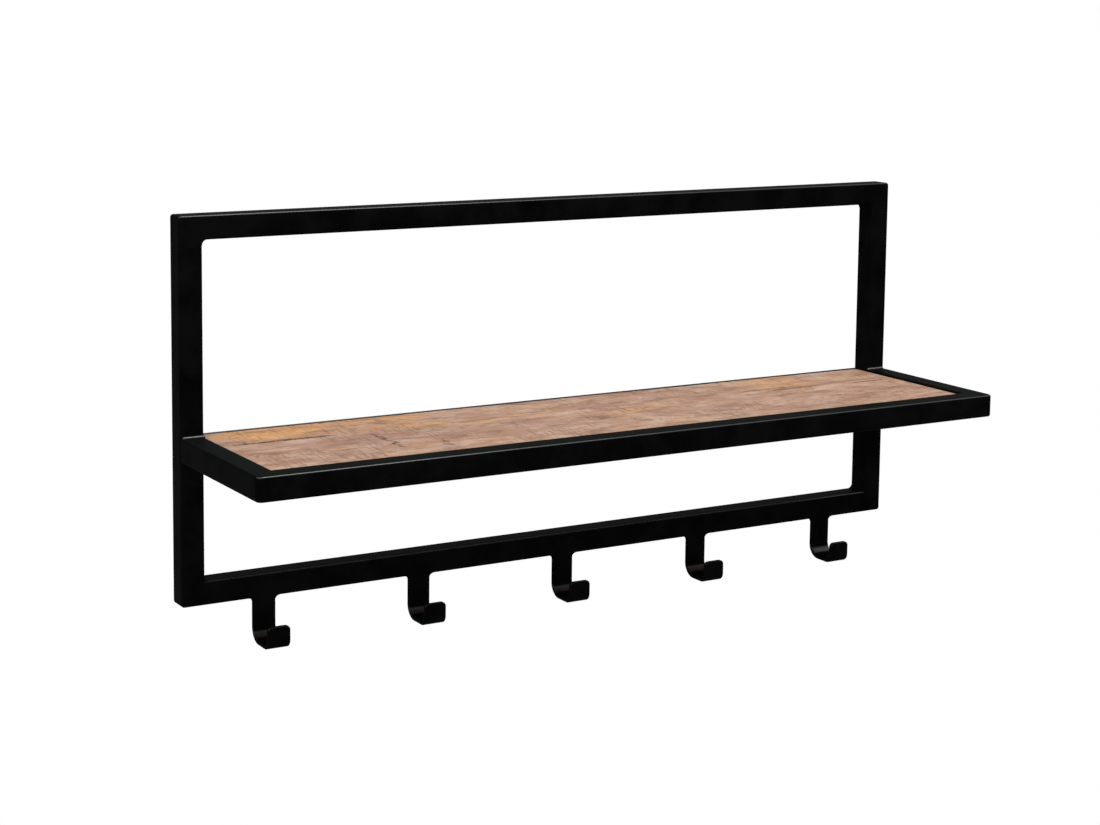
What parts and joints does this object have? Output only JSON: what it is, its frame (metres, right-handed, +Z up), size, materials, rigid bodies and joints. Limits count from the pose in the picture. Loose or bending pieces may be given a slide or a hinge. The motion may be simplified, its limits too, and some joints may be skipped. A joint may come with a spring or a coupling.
{
  "type": "wall coat rack with shelf",
  "caption": "Wall-hung coat rack: black square-tube frame with an inset wooden shelf that stands forward, and flat-bar J hooks under the bottom rail.",
  "frame": {"origin": "middle of the top rail's back face, on the wall", "axes": "+X along the rack, to the right as seen from the room; +Y into the wall, so the shelf stands out towards -Y; +Z up"},
  "size_m": [0.9, 0.22, 0.446],
  "materials": {
    "black_paint": "satin black powder coat",
    "mango_wood": "rough-sawn, matt lacquer",
    "zinc_screw": "bright zinc"
  },
  "bodies": {
    "root": {"left_post": "black_paint", "right_post": "black_paint", "top_rail": "black_paint", "bottom_rail": "black_paint", "shelf_arm_left": "black_paint", "shelf_arm_right": "black_paint", "shelf_front_rail": "black_paint", "shelf_back_angle": "black_paint", "tab_front_left": "black_paint", "tab_front_middle": "black_paint", "tab_front_right": "black_paint", "tab_side_left": "black_paint", "tab_side_right": "black_paint", "hook_1": "black_paint", "hook_2": "black_paint", "hook_3": "black_paint", "hook_4": "black_paint", "hook_5": "black_paint", "shelf_board_back": "mango_wood", "shelf_board_front": "mango_wood", "screw_1": "zinc_screw", "screw_2": "zinc_screw", "screw_3": "zinc_screw", "screw_4": "zinc_screw", "screw_5": "zinc_screw", "screw_6": "zinc_screw", "screw_7": "zinc_screw", "screw_8": "zinc_screw"}
  },
  "joints": []
}
